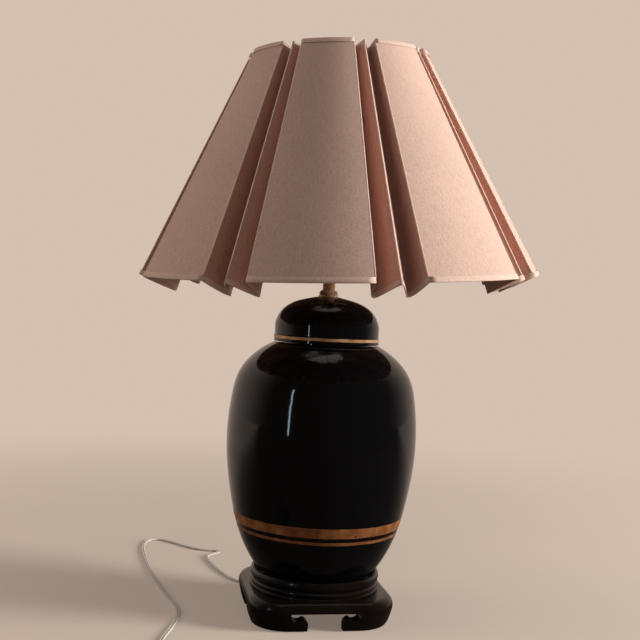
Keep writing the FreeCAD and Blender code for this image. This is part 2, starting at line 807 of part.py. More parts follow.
def shade_ribs():
    """Upright wires between the two rings, one behind the middle of each panel."""
    rings = [Part.makeTorus(low_ring_radius, frame_wire, V(0, 0, low_ring_height)),
             Part.makeTorus(high_ring_radius, frame_wire, V(0, 0, high_ring_height))]
    ribs = []
    for index in range(panel_count):
        degrees = shade_turn - 90 + panel_pitch * index
        low = polar(low_ring_radius, degrees, low_ring_height)
        high = polar(high_ring_radius, degrees, high_ring_height)
        rib = Part.makeCylinder(frame_wire, (high - low).Length, low, high - low)
        ribs.append(leaning(rib.cut(rings)))
    return Part.makeCompound(ribs)


# ---- cord and plug ---------------------------------------------------------------------------
def cord_bushing():
    """Plastic bush in the lower end of the pipe, with a lip that keeps the cord off its edge."""
    bore = cord_diameter / 2 + cord_gap
    sleeve = pipe_bore - thread_gap
    return turned([
        (bore, pipe_bottom - bushing_lip), (bushing_lip_radius, pipe_bottom - bushing_lip),
        (bushing_lip_radius, pipe_bottom), (sleeve, pipe_bottom),
        (sleeve, pipe_bottom + bushing_sleeve), (bore, pipe_bottom + bushing_sleeve)])


def cord_exit():
    return V(0, 0, pipe_bottom - bushing_lip)


def cord_inside():
    """Cord from the socket down the pipe to the lip of the bush."""
    top = interior_bottom + 4
    return Part.makeCylinder(cord_diameter / 2, top - cord_exit().z, cord_exit())


def cord_route():
    """Chosen by hand: out under the back of the stand, round its foot, a kink, a far bend, and forward."""
    z = cord_floor
    return [
        cord_exit(), V(0, 0, 4.0), V(2, 34, 3.2), V(4, 66, z), V(-4, 91, z), V(-26, 104, z), V(-52, 103, z),
        V(-75, 112, z), V(-90, 127, z), V(-98, 151, z), V(-106, 176, z), V(-112, 204, z), V(-117, 230, z),
        V(-116, 248, z), V(-108, 260, z), V(-96, 268, z), V(-98, 280, z), V(-113, 283, z), V(-130, 290, z),
        V(-149, 311, z), V(-167, 333, z), V(-185, 351, z), V(-202, 344, z), V(-209, 321, z), V(-211, 289, z),
        V(-209, 255, z), V(-206, 216, z), V(-202, 178, z), V(-197, 138, z), V(-190, 101, z), V(-183, 63, z),
        V(-174, 28, z), V(-169, -3, z), V(-173, -35, z), V(-183, -71, z), V(-195, -108, z),
        V(-199, -146, z), coil_entry()]


def coil_entry():
    """The coil starts on its right side, heading towards -Y, with one straight diameter."""
    return coil_centre + V(coil_radius, cord_diameter, cord_floor)


def coil_point(turn):
    """Point of the wound cord after so many turns: inwards on the floor, up, and outwards on top."""
    turning_back = coil_turns_in + coil_turns_lift
    radius = coil_radius - coil_pitch * (turning_back - abs(turning_back - turn))
    share = min(max((turn - coil_turns_in) / coil_turns_lift, 0.0), 1.0)
    lift = coil_lift * (3 * share ** 2 - 2 * share ** 3)
    return coil_centre + polar(radius, -360.0 * turn, cord_floor + lift)


def biarc(start, start_way, end, end_way):
    """Two tangent arcs from one point and direction to another."""
    chord = end - start
    ways = start_way + end_way
    spread = 2 * (1 - start_way.dot(end_way))
    along = chord.dot(ways)
    if spread < 1e-9:
        reach = chord.dot(chord) / (4 * chord.dot(end_way))
    else:
        reach = (-along + math.sqrt(along ** 2 + spread * chord.dot(chord))) / spread
    joint = (start + end + (start_way - end_way) * reach) * 0.5
    edges = []
    for a, b, way in ((start, joint, start_way), (joint, end, (end - joint).normalize())):
        step = b - a
        if way is not start_way:
            way = (step * 2 * step.dot(end_way) / step.dot(step) - end_way)
        angle = way.getAngle(step)
        if angle < 1e-4:
            edges.append(Part.makeLine(a, b))
            continue
        flat = step.normalize()
        out = (way - flat * way.dot(flat)).normalize()
        length = (b - a).Length
        middle = (a + b) * 0.5 + out * (length / 2 * math.tan(angle / 2))
        edges.append(Part.Arc(a, middle, b).toShape())
    return edges


def coil_stations():
    """Points and directions along the wound cord, a quarter turn apart, and its tail to the plug."""
    total = coil_turns_in + coil_turns_lift + coil_turns_out
    count = math.ceil(total * 8)
    small = 1e-4
    stations = []
    for i in range(count + 1):
        turn = total * i / count
        before = coil_point(max(turn - small, 0))
        after = coil_point(min(turn + small, total))
        stations.append((coil_point(turn), (after - before).normalize()))
    first_point = stations[0][0]
    stations[0] = (first_point, V(0, -1, 0))
    return stations


def coil_tail():
    """Where the tail leaves the coil, where its level part ends, and where the plug takes it."""
    leave, way = coil_stations()[-1]
    level = V(way.x, way.y, 0).normalize()
    outward = (leave - coil_centre)
    outward = V(outward.x, outward.y, 0).normalize()
    level_end = leave + level * tail_level
    plug_way = (level + outward * 0.25).normalize()
    down = plug_height / 2 - leave.z
    plug_entry = level_end + level * tail_drop + outward * 4.0 + V(0, 0, down)
    return leave, level, level_end, plug_way, plug_entry


def cord_coil():
    stations = coil_stations()
    edges = [Part.makeLine(coil_entry(), stations[0][0])]
    for (a, way_a), (b, way_b) in zip(stations, stations[1:]):
        edges += biarc(a, way_a, b, way_b)
    leave, level, level_end, plug_way, plug_entry = coil_tail()
    edges += biarc(leave, stations[-1][1], leave + level * 5.0, level)
    edges.append(Part.makeLine(leave + level * 5.0, level_end))
    edges += biarc(level_end, level, plug_entry - plug_way * cord_diameter, plug_way)
    edges.append(Part.makeLine(plug_entry - plug_way * cord_diameter, plug_entry))
    path = Part.Wire(edges)
    return pipe_along(path, cord_diameter / 2), path


def least_gap(path):
    """Smallest space between turns of one tube, measured on points of its centre line."""
    points = path.discretize(Distance=1.5)
    apart = int(4 * cord_diameter / 1.5)
    nearest = min((a - b).Length for i, a in enumerate(points) for b in points[i + apart:])
    return nearest - cord_diameter


def plug_frame():
    """Placement of the plug: its cord end at the origin, its blades towards +X."""
    way, entry = coil_tail()[3:]
    heading = math.degrees(math.atan2(way.y, way.x))
    return FreeCAD.Placement(V(entry.x, entry.y, 0), FreeCAD.Rotation(UP, heading))


def plug_body():
    """Moulded two-pin plug lying flat, waisted where fingers hold it."""
    half = plug_width / 2
    waist = half - 3.5
    neck = cord_diameter / 2 + 1.2
    outline = [V(0, -neck, 0), V(7, -neck - 0.6, 0), V(11, -waist, 0), V(plug_length - 9, -waist, 0),
               V(plug_length - 5, -half, 0), V(plug_length, -half, 0)]
    outline += [V(p.x, -p.y, 0) for p in reversed(outline)]
    slab = Part.Face(Part.makePolygon(outline + [outline[0]])).extrude(V(0, 0, plug_height))
    slab = slab.makeFillet(1.2, [e for e in slab.Edges if abs(e.tangentAt(e.FirstParameter).z) < 0.5])
    slab.Placement = plug_frame()
    return slab.cut(plug_blades())


def plug_blades():
    """Two flat contacts, standing partly inside the plug."""
    blades = []
    for side in (1, -1):
        across = (side * blade_spacing - blade_sheet) / 2
        corner = V(plug_length - 6, across, (plug_height - blade_width) / 2)
        blade = Part.makeBox(blade_length + 6, blade_sheet, blade_width, corner)
        blade.Placement = plug_frame().multiply(blade.Placement)
        blades.append(blade)
    return Part.makeCompound(blades)


# ---- build -----------------------------------------------------------------------------------
def build():
    save(stand_frame(), "stand_frame")
    save(stand_ring(), "stand_ring")
    save(frame_screws(), "frame_screws")
    save(felt_pads(), "felt_pads")
    save(jar_gasket(), "jar_gasket")
    save(jar(), "jar")
    save(lid(), "lid")
    save(lamp_pipe(), "lamp_pipe")
    save(base_washer(), "base_washer")
    save(base_lock_washer(), "base_lock_washer")
    save(base_nut(), "base_nut")
    save(check_ring(), "check_ring")
    save(neck_tube(), "neck_tube")
    save(harp_saddle(), "harp_saddle")
    save(saddle_locknut(), "saddle_locknut")
    save(socket_cap(), "socket_cap")
    save(set_screw(), "cap_set_screw")
    save(socket_interior(), "socket_interior")
    save(terminal_screws(), "terminal_screws")
    save(screw_shell(), "screw_shell")
    save(centre_contact(), "centre_contact")
    save(socket_liner(), "socket_liner")
    save(socket_shell(), "socket_shell")
    save(switch_shaft(), "switch_shaft")
    save(switch_knob(), "switch_knob")
    save(bulb_cap(), "bulb_cap")
    save(bulb_glass(), "bulb_glass")
    save(harp(), "harp")
    save(harp_ferrule(-1), "harp_ferrule_left")
    save(harp_ferrule(1), "harp_ferrule_right")
    save(finial(), "finial")
    save(shade_top_frame(), "shade_top_frame")
    save(shade_bottom_frame(), "shade_bottom_frame")
    save(shade_ribs(), "shade_ribs")
    for index in range(panel_count):
        save(shade_panel(index), "shade_panel_" + str(index + 1))
        save(shade_gore(index), "shade_gore_" + str(index + 1))
    save(shade_binding(slant_low, slant_low - binding_width), "shade_bottom_binding")
    save(shade_binding(slant_high + binding_width, slant_high), "shade_top_binding")
    save(cord_bushing(), "cord_bushing")
    save(cord_inside(), "cord_inside")
    run_path, run_radii = bent_path(cord_route(), first_bend)
    run = pipe_along(run_path, cord_diameter / 2)
    save(run, "cord_run")
    coil, coil_path = cord_coil()
    save(coil, "cord_coil")
    save(plug_body(), "plug_body")
    save(plug_blades(), "plug_blades")
    section = math.pi * cord_diameter ** 2 / 4
    print("run length", round(run_path.Length), "radii", [round(r, 1) for r in run_radii])
    print("run volume over section times length", round(run.Volume / section / run_path.Length, 4))
    print("coil length", round(coil_path.Length), "least gap", round(least_gap(coil_path), 2))
    print("coil volume over section times length", round(coil.Volume / section / coil_path.Length, 4))
    print("cord length in all", round(run_path.Length + coil_path.Length))


build()
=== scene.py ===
"""Looks of the ginger jar lamp, laid over its CAD frame. Metres, in the row frame."""
import bpy
import bmesh
import math
from mathutils import Matrix, Vector


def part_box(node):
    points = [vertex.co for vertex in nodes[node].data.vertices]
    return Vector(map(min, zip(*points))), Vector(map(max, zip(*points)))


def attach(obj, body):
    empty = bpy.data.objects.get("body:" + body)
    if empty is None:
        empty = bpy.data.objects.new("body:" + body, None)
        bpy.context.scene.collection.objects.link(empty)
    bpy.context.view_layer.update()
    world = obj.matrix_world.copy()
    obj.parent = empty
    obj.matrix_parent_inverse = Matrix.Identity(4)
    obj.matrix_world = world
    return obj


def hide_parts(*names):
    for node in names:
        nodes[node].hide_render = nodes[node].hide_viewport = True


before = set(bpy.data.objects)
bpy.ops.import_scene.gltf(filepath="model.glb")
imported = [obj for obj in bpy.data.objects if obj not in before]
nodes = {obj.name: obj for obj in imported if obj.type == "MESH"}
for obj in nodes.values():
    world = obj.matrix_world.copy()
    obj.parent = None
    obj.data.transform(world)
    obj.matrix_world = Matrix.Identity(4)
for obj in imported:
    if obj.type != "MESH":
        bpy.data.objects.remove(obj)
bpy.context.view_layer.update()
MM = 0.001
CREASE = 35.0                    # degrees; sharper edges of the CAD nodes stay crisp
STEEP = 0.3                      # sine of the angle to the vertical under which a section keeps its side

# ---- camera ----------------------------------------------------------------------------------
CAMERA_PLACE = Vector((-0.2434, -1.1965, 0.3915))
CAMERA_HEADING = 78.94           # degrees from +X
CAMERA_PITCH = -1.0
CAMERA_ROLL = 2.98
FOCAL_PIXELS = 960.0
PICTURE_WIDTH = 640.0
SENSOR_WIDTH = 36.0              # mm

# ---- jar and lid -----------------------------------------------------------------------------
JAR_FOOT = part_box("jar")[0][2]
LID_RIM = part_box("lid")[0][2]
WIDE_BAND = (JAR_FOOT + 0.0700, JAR_FOOT + 0.0821)
NARROW_BAND = (JAR_FOOT + 0.0612, JAR_FOOT + 0.0650)
LID_LINE = (LID_RIM + 0.0037, LID_RIM + 0.0073)

# ---- shade, as in the CAD --------------------------------------------------------------------
SEAT = Vector((0, 0, 0.6495))
LEAN = 5.0
LEAN_TOWARD = 223.6
SHADE_TURN = -18.85
PANELS = 8
PITCH = 360.0 / PANELS
PANEL_HALF = 15.8                # degrees from a panel's middle to its edge
LOW_RADIUS = 0.2515
HIGH_RADIUS = 0.110
SHADE_HEIGHT = 0.275
SHADE_RECESS = 0.056             # from the seat up to the top rim
CARD = 0.001
FOLD_SHARE = 0.84                # radius at a fold's bottom, as a share of the outer radius
FOLD_ANGLE = 6.0                 # degrees from a fold's middle to its bottom
RIDGE_SHARE = 0.983              # radius of the ridge in a fold's middle
BINDING = 0.0062

SHADE_LOW = SHADE_RECESS - SHADE_HEIGHT
APEX = SHADE_LOW + LOW_RADIUS * SHADE_HEIGHT / (LOW_RADIUS - HIGH_RADIUS)
SLANT_LOW = math.hypot(LOW_RADIUS, APEX - SHADE_LOW)
SLANT_HIGH = math.hypot(HIGH_RADIUS, APEX - SHADE_RECESS)
CORNER = PITCH / 2 - PANEL_HALF

# ---- shade, in the scene alone ---------------------------------------------------------------
PANEL_POINTS = 17
SHEET_ROWS = 25
PLEAT_CREASE = 40.0              # degrees
WALL = [(0.975, 0.30), (0.945, 0.60), (0.92, 0.82)]     # shares of CORNER, and of the depth inwards
COVE = [(0.95, 0.07), (0.86, 0.02), (0.74, 0.10), (0.58, 0.28), (0.38, 0.52),
        (0.17, 0.76)]                                   # shares of FOLD_ANGLE, and of the depth outwards
RIM_STRIP = [(BINDING, 0.0007), (BINDING * 0.5, 0.0011), (0.0003, 0.0009), (-0.0004, 0.0),
             (0.0003, -0.0018), (BINDING * 0.8, -0.0016)]     # distance from the rim, and lift
RIM_UV_STEP = 0.003
EDGE_RADIUS = 0.0009
EDGE_LIFT = -0.0006              # sinks the edge strips into the silk
EDGE_SIDES = 8
EDGE_ROWS = 12
EDGE_UV_STEPS = (0.0004, 0.02)

# ---- cord: its section in metres, its route and coil in mm -----------------------------------
CORD_WIDTH = 0.0052
LOBE = 0.00135                   # radius of each of its two cores
LOBE_STEPS = 8
SPLINE_STEPS = 8                 # points read from its line between two route points
REST = 1.5                       # centre of the flat cord above the table, mm
RUN = [
    (0, 0, 24.5), (0, 0, 4.0), (2, 34, 3.0), (4, 66, 2.0), (-4, 91, REST), (-26, 104, REST),
    (-52, 103, REST), (-75, 112, REST), (-90, 127, REST), (-98, 151, REST), (-106, 176, REST),
    (-112, 204, REST), (-117, 230, REST), (-116, 248, REST), (-108, 260, REST), (-96, 268, REST),
    (-98, 280, REST), (-113, 283, REST), (-130, 290, REST), (-149, 311, REST), (-167, 333, REST),
    (-185, 351, REST), (-202, 344, REST), (-209, 321, REST), (-211, 289, REST), (-209, 255, REST),
    (-206, 216, REST), (-202, 178, REST), (-197, 138, REST), (-190, 101, REST), (-183, 63, REST),
    (-174, 28, REST), (-169, -3, REST), (-173, -35, REST), (-183, -71, REST), (-195, -108, REST),
    (-199, -146, REST), (-200.3, -190, REST)]
COIL_CENTRE = (-238.0, -200.0)
COIL_RADIUS = 38.3
COIL_PITCH = 6.5
TURNS_IN = 2.25                  # turns that wind inwards on the table
TURNS_LIFT = 0.25                # the stretch that climbs onto them
TURNS_OUT = 1.75                 # turns that wind outwards again on top
COIL_LIFT = 3.3                  # of the upper layer over the lower one
POINTS_PER_TURN = 16
TAIL = [(-252, -232.5, 4.8), (-266, -233.3, 4.9), (-278, -234.6, 5.0), (-289, -237.4, 5.0)]

# ---- paper tie, in mm ------------------------------------------------------------------------
TIE_BEARING = 25.0               # degrees from +X, seen from the coil's centre
TIE_ROUNDS = 2
TIE_STEPS = 36
TIE_REACH = 10.6                 # from its middle, across the coil's turns
TIE_HEIGHT = 3.6
TIE_RISE = 3.3                   # above and below that height
TIE_SHIFT = 2.4                  # from one round to the next
TIE_WIDTH = 2.4
TIE_THICKNESS = 0.4

# ---- plug ------------------------------------------------------------------------------------
PLUG_STATIONS = [                # place along the plug toward its blades, half width, half height
    (-0.013, 0.0034, 0.0026), (-0.0095, 0.0042, 0.0032), (-0.006, 0.0060, 0.0042),
    (-0.001, 0.0066, 0.0047), (0.004, 0.0068, 0.0047), (0.0075, 0.0096, 0.0049),
    (0.0115, 0.0098, 0.0049), (0.0128, 0.0094, 0.0045)]
PLUG_SIDES = 28
PLUG_CREASE = 50.0               # degrees
SLEEVE_OVERLAP = 0.001
SLEEVE_PITCH = 0.0024
SLEEVE_RINGS = 9
SLEEVE_SIDES = 18
SLEEVE_FLATNESS = 0.62
SLEEVE_HALF_WIDTH = 0.0036
SLEEVE_TAPER = 0.0001            # from ring to ring
SLEEVE_RIB = 0.0004              # added to every other ring

# ---- finishes --------------------------------------------------------------------------------
GLAZE_BLACK = (0.0015, 0.0015, 0.002)
GLAZE_ROUGHNESS = 0.06
# one gold in two copies: darker on the jar's bands as painted shade, lighter on the lid's line as a painted
# highlight
JAR_GILT_PAINTED_SHADE = ((0.24, 0.080, 0.024), (0.40, 0.15, 0.052), (0.56, 0.27, 0.115))
LID_GILT_PAINTED_HIGHLIGHT = ((0.42, 0.19, 0.085), (0.66, 0.36, 0.18), (0.85, 0.58, 0.36))
GILT_METALLIC = 0.55
GILT_ROUGHNESS = 0.26            # added to the glaze's
GILT_WAVER = 0.0012              # height of the strip in which a band's edge wanders
TARNISH_SCALE = 60.0
WORN_EDGES = [("stand_frame", 0.0008), ("stand_ring", 0.0004), ("switch_knob", 0.0005)]
WORN_ANGLE = 40.0                # degrees


# ---- meshes ----------------------------------------------------------------------------------
def mesh_object(name, points, faces, smooth=True):
    mesh = bpy.data.meshes.new(name)
    mesh.from_pydata([tuple(p) for p in points], [], faces)
    mesh.update()
    if smooth:
        mesh.shade_smooth()
    piece = bpy.data.objects.new(name, mesh)
    bpy.context.scene.collection.objects.link(piece)
    return piece


def grid_object(name, rows, closed_across=False):
    """Sheet over rows of equally many points."""
    count = len(rows[0])
    faces = []
    for i in range(len(rows) - 1):
        here = i * count
        below = here + count
        for j in range(count if closed_across else count - 1):
            beside = (j + 1) % count
            faces.append((here + j, here + beside, below + beside, below + j))
    return mesh_object(name, [p for row in rows for p in row], faces)


def lay_uv(piece, coordinates):
    """UV in metres, one pair per vertex, so that a weave keeps its real scale."""
    layer = piece.data.uv_layers.new(name="UVMap")
    for loop in piece.data.loops:
        layer.data[loop.index].uv = coordinates[loop.vertex_index]


def smooth_node(name):
    """Rounded shading on a CAD node, with crisp edges kept."""
    mesh = nodes[name].data
    mesh.shade_smooth()
    mesh.set_sharp_from_angle(angle=math.radians(CREASE))
    return nodes[name]


def spline_points(name, points):
    """Points read from the smooth line that has these route points as its control points."""
    curve = bpy.data.curves.new(name, "CURVE")
    curve.dimensions = "3D"
    curve.resolution_u = SPLINE_STEPS
    spline = curve.splines.new("NURBS")
    spline.points.add(len(points) - 1)
    for control, point in zip(spline.points, points):
        control.co = (point[0], point[1], point[2], 1.0)
    spline.order_u = 3
    spline.use_endpoint_u = True
    holder = bpy.data.objects.new(name, curve)
    bpy.context.scene.collection.objects.link(holder)
    bpy.context.view_layer.update()
    line = bpy.data.meshes.new_from_object(holder)
    result = [v.co.copy() for v in line.vertices]
    bpy.data.objects.remove(holder)
    bpy.data.meshes.remove(line)
    return result


def close_ends(tube, count):
    """Flat ends on a tube that has this many points in a ring."""
    last = len(tube.data.vertices) - count
    shape = bmesh.new()
    shape.from_mesh(tube.data)
    shape.verts.ensure_lookup_table()
    shape.faces.new([shape.verts[j] for j in range(count)])
    shape.faces.new([shape.verts[last + j] for j in reversed(range(count))])
    bmesh.ops.recalc_face_normals(shape, faces=shape.faces)
    shape.to_mesh(tube.data)
    shape.free()


def swept(name, path, section, side_hint=Vector((1, 0, 0))):
    """Mesh tube whose section, in (side, up) pairs, stays level along the path."""
    rows = []
    side = side_hint
    for i, point in enumerate(path):
        ahead = path[min(i + 1, len(path) - 1)]
        behind = path[max(i - 1, 0)]
        tangent = (ahead - behind).normalized()
        level = tangent.cross(Vector((0, 0, 1)))
        if level.length > STEEP:
            side = level.normalized()
        side = (side - tangent * side.dot(tangent)).normalized()
        rise = side.cross(tangent).normalized()
        rows.append([point + side * a + rise * b for a, b in section])
    tube = grid_object(name, rows, closed_across=True)
    close_ends(tube, len(section))
    return tube


def round_section(radius, count, flat=1.0):
    turns = [2 * math.pi * i / count for i in range(count)]
    return [(radius * math.cos(t), radius * flat * math.sin(t)) for t in turns]


# ---- materials -------------------------------------------------------------------------------
class Look:
    """A material with its shader, and short ways to add nodes to it."""

    def __init__(self, name, colour, roughness, metallic=0.0, **values):
        self.material = bpy.data.materials.new(name)
        self.material.use_nodes = True
        self.tree = self.material.node_tree
        self.shader = self.tree.nodes["Principled BSDF"]
        self.set("Base Color", (*colour, 1.0))
        self.set("Roughness", roughness)
        self.set("Metallic", metallic)
        for socket, value in values.items():
            self.set(socket.replace("_", " "), value)

    def set(self, socket, value):
        self.shader.inputs[socket].default_value = value

    def add(self, kind, **settings):
        node = self.tree.nodes.new(kind)
        for key, value in settings.items():
            if key in node.inputs:
                node.inputs[key].default_value = value
            else:
                setattr(node, key, value)
        return node

    def link(self, source, target):
        self.tree.links.new(source, target)

    def coordinates(self, kind="Object", scale=(1, 1, 1)):
        source = self.add("ShaderNodeTexCoord")
        stretch = self.add("ShaderNodeMapping")
        stretch.inputs["Scale"].default_value = scale
        self.link(source.outputs[kind], stretch.inputs["Vector"])
        return stretch.outputs["Vector"]

    def noise(self, where, scale, detail=3.0, roughness=0.5, distortion=0.0):
        node = self.add("ShaderNodeTexNoise", Scale=scale, Detail=detail, Roughness=roughness,
                        Distortion=distortion)
        self.link(where, node.inputs["Vector"])
        return node.outputs["Fac"]

    def uv_noise(self, across, down, scale, detail, roughness=0.5):
        """Noise stretched by these two factors over a cloth's UV."""
        return self.noise(self.coordinates("UV", (across, down, 1.0)), scale, detail, roughness)

    def ramp(self, factor, stops):
        """Colours or values over a factor, from (position, colour or value) stops."""
        node = self.add("ShaderNodeValToRGB")
        elements = node.color_ramp.elements
        while len(elements) < len(stops):
            elements.new(0.5)
        for element, (position, colour) in zip(elements, stops):
            element.position = position
            if not isinstance(colour, tuple):
                colour = (colour, colour, colour)
            element.color = (*colour, 1.0)
        self.link(factor, node.inputs["Fac"])
        return node.outputs["Color"]

    def mix(self, factor, a, b, blend="MIX"):
        node = self.add("ShaderNodeMix", data_type="RGBA", blend_type=blend)
        slots = [s for s in node.inputs if s.type == "RGBA"]
        factor_slot = node.inputs["Factor"]
        for slot, value in ((factor_slot, factor), (slots[0], a), (slots[1], b)):
            if isinstance(value, bpy.types.NodeSocket):
                self.link(value, slot)
            elif slot is factor_slot:
                slot.default_value = value
            else:
                slot.default_value = (*value, 1.0)
        return [s for s in node.outputs if s.type == "RGBA"][0]

    def math(self, operation, a, b=0.0, clamp=False):
        node = self.add("ShaderNodeMath", operation=operation, use_clamp=clamp)
        for slot, value in zip(node.inputs, (a, b)):
            if isinstance(value, bpy.types.NodeSocket):
                self.link(value, slot)
            else:
                slot.default_value = value
        return node.outputs["Value"]

    def bump(self, height, strength, distance):
        node = self.add("ShaderNodeBump", Strength=strength, Distance=distance)
        self.link(height, node.inputs["Height"])
        self.link(node.outputs["Normal"], self.shader.inputs["Normal"])

    def feed(self, source, socket):
        self.link(source, self.shader.inputs[socket])

    def on(self, piece):
        piece.data.materials.clear()
        piece.data.materials.append(self.material)


def glaze_look(name, bands, gilt):
    """Black glaze with gold bands between these heights, the gold worn through here and there."""
    look = Look(name, GLAZE_BLACK, GLAZE_ROUGHNESS, Specular_IOR_Level=0.5)
    place = look.coordinates()
    split = look.add("ShaderNodeSeparateXYZ")
    look.link(place, split.inputs["Vector"])
    waver = look.math("MULTIPLY", look.math("SUBTRACT", look.noise(place, 60.0), 0.5), GILT_WAVER)
    height = look.math("ADD", split.outputs["Z"], waver)
    gold = 0.0
    for low, high in bands:
        above = look.math("GREATER_THAN", height, low)
        below = look.math("LESS_THAN", height, high)
        gold = look.math("ADD", look.math("MULTIPLY", above, below), gold, clamp=True)
    wear = look.ramp(look.noise(place, 42.0, 6.0, 0.7), [(0.33, 0.0), (0.40, 1.0)])
    gold = look.math("MULTIPLY", gold, wear)
    shade_of_gold = look.ramp(look.noise(place, 90.0, 4.0), list(zip((0.3, 0.55, 0.75), gilt)))
    look.feed(look.mix(gold, GLAZE_BLACK, shade_of_gold), "Base Color")
    look.feed(look.math("MULTIPLY", gold, GILT_METALLIC), "Metallic")
    speckle = look.math("MULTIPLY", look.noise(place, 300.0, 3.0), 0.2)
    rough_gold = look.math("MULTIPLY", gold, look.math("ADD", GILT_ROUGHNESS, speckle))
    look.feed(look.math("ADD", rough_gold, GLAZE_ROUGHNESS), "Roughness")
    ripple = look.noise(place, 22.0, 2.0)
    look.bump(look.math("ADD", look.math("MULTIPLY", gold, 0.12), ripple), 0.06, 0.0016)
    return look


def wood_look(name, grain_scale):
    """Dark lacquered hardwood: open grain that shows through a satin coat."""
    look = Look(name, (0.0035, 0.002, 0.0016), 0.3, Coat_Weight=0.35, Coat_Roughness=0.08,
                Specular_IOR_Level=0.25)
    place = look.coordinates(scale=grain_scale)
    grain = look.noise(place, 14.0, 6.0, 0.62, 0.6)
    pores = look.noise(place, 70.0, 4.0, 0.7)
    look.feed(look.ramp(grain, [(0.25, (0.0014, 0.0010, 0.0009)), (0.5, (0.0036, 0.0021, 0.0016)),
                                (0.72, (0.010, 0.005, 0.0034))]), "Base Color")
    look.feed(look.ramp(pores, [(0.3, 0.22), (0.7, 0.40)]), "Roughness")
    look.bump(look.math("ADD", grain, look.math("MULTIPLY", pores, 0.5)), 0.12, 0.0008)
    return look


def metal_look(name, colour, dark, roughness, metallic=1.0):
    """Metal with patches of darker tarnish and a finely uneven polish."""
    look = Look(name, colour, roughness, metallic)
    place = look.coordinates()
    tarnish = look.noise(place, TARNISH_SCALE, 5.0, 0.6)
    look.feed(look.ramp(tarnish, [(0.32, dark), (0.6, colour)]), "Base Color")
    fine = look.noise(place, TARNISH_SCALE * 9, 3.0)
    look.feed(look.ramp(fine, [(0.3, roughness * 0.75), (0.7, roughness * 1.35)]), "Roughness")
    look.bump(fine, 0.05, 0.0003)
    return look


def plastic_look(name, colour, roughness, grain=900.0, mottle=0.06):
    """Plain matter with slightly darker patches and a fine grain."""
    look = Look(name, colour, roughness)
    place = look.coordinates()
    darker = tuple(c * (1 - mottle * 3) for c in colour)
    look.feed(look.ramp(look.noise(place, 35.0, 4.0), [(0.3, darker), (0.65, colour)]), "Base Color")
    fine = look.noise(place, grain, 2.0)
    look.feed(look.ramp(fine, [(0.3, roughness * 0.85), (0.7, min(roughness * 1.2, 1.0))]), "Roughness")
    look.bump(fine, 0.08, 0.0002)
    return look


def silk_look(name, colour, slub=0.09):
    """Slubbed silk: fine threads both ways, short uneven slubs that run down, and a few dark specks."""
    look = Look(name, colour, 0.75, Sheen_Weight=0.2, Sheen_Roughness=0.4, Specular_IOR_Level=0.2)
    threads = look.uv_noise(1.0, 0.3, 1000.0, 2.0, 0.6)
    slubs = look.uv_noise(1.0, 0.2, 460.0, 3.0, 0.6)
    weft = look.uv_noise(0.22, 1.0, 850.0, 2.0, 0.6)
    nubs = look.ramp(look.uv_noise(1.0, 0.16, 260.0, 2.0), [(0.68, 0.0), (0.74, 0.6)])
    patches = look.uv_noise(1.0, 1.0, 11.0, 3.0)
    specks = look.ramp(look.uv_noise(1.0, 0.4, 240.0, 1.0), [(0.80, 0.0), (0.83, 1.0)])
    light = tuple(min(c * (1 + slub), 1.0) for c in colour)
    dark = tuple(c * (1 - slub * 1.2) for c in colour)
    tone = look.ramp(slubs, [(0.3, dark), (0.5, colour), (0.7, light)])
    for pattern, low, high in ((threads, 0.88, 1.09), (weft, 0.90, 1.07), (patches, 0.96, 1.03)):
        tone = look.mix(1.0, tone, look.ramp(pattern, [(0.3, low), (0.7, high)]), "MULTIPLY")
    tone = look.mix(nubs, tone, tuple(min(c * 1.22, 1.0) for c in colour))
    look.feed(look.mix(specks, tone, tuple(c * 0.35 for c in colour)), "Base Color")
    height = look.math("ADD", slubs, look.math("MULTIPLY", threads, 0.6))
    height = look.math("ADD", height, look.math("MULTIPLY", weft, 0.4))
    look.bump(look.math("ADD", height, nubs), 0.3, 0.0004)
    return look


# ---- camera and cord -------------------------------------------------------------------------
def make_camera():
    heading = math.radians(CAMERA_HEADING)
    pitch = math.radians(CAMERA_PITCH)
    roll = math.radians(CAMERA_ROLL)
    forward = Vector((math.cos(heading) * math.cos(pitch), math.sin(heading) * math.cos(pitch),
                      math.sin(pitch)))
    right = Vector((math.sin(heading), -math.cos(heading), 0))
    up = right.cross(forward)
    right_rolled = right * math.cos(roll) + up * math.sin(roll)
    up_rolled = up * math.cos(roll) - right * math.sin(roll)
    data = bpy.data.cameras.new("camera")
    data.sensor_width = SENSOR_WIDTH
    data.lens = SENSOR_WIDTH * FOCAL_PIXELS / PICTURE_WIDTH
    data.clip_start = 0.01
    camera = bpy.data.objects.new("camera", data)
    turn = Matrix((right_rolled, up_rolled, -forward)).transposed().to_4x4()
    camera.matrix_world = Matrix.Translation(CAMERA_PLACE) @ turn
    bpy.context.scene.collection.objects.link(camera)
    bpy.context.scene.camera = camera


def coil_point(turn):
    """Point of the coil after this many turns: it winds in, steps up a layer and winds out again."""
    back = TURNS_IN + TURNS_LIFT
    radius = COIL_RADIUS - COIL_PITCH * (back - abs(back - turn))
    share = min(max((turn - TURNS_IN) / TURNS_LIFT, 0.0), 1.0)
    lift = COIL_LIFT * (3 * share ** 2 - 2 * share ** 3)
    angle = -2 * math.pi * turn
    return (COIL_CENTRE[0] + radius * math.cos(angle), COIL_CENTRE[1] + radius * math.sin(angle), REST + lift)


def cord_points():
    total = TURNS_IN + TURNS_LIFT + TURNS_OUT
    steps = round(total * POINTS_PER_TURN)
    coil = [coil_point(total * i / steps) for i in range(steps + 1)]
    return [Vector(p) * MM for p in RUN + coil + TAIL]


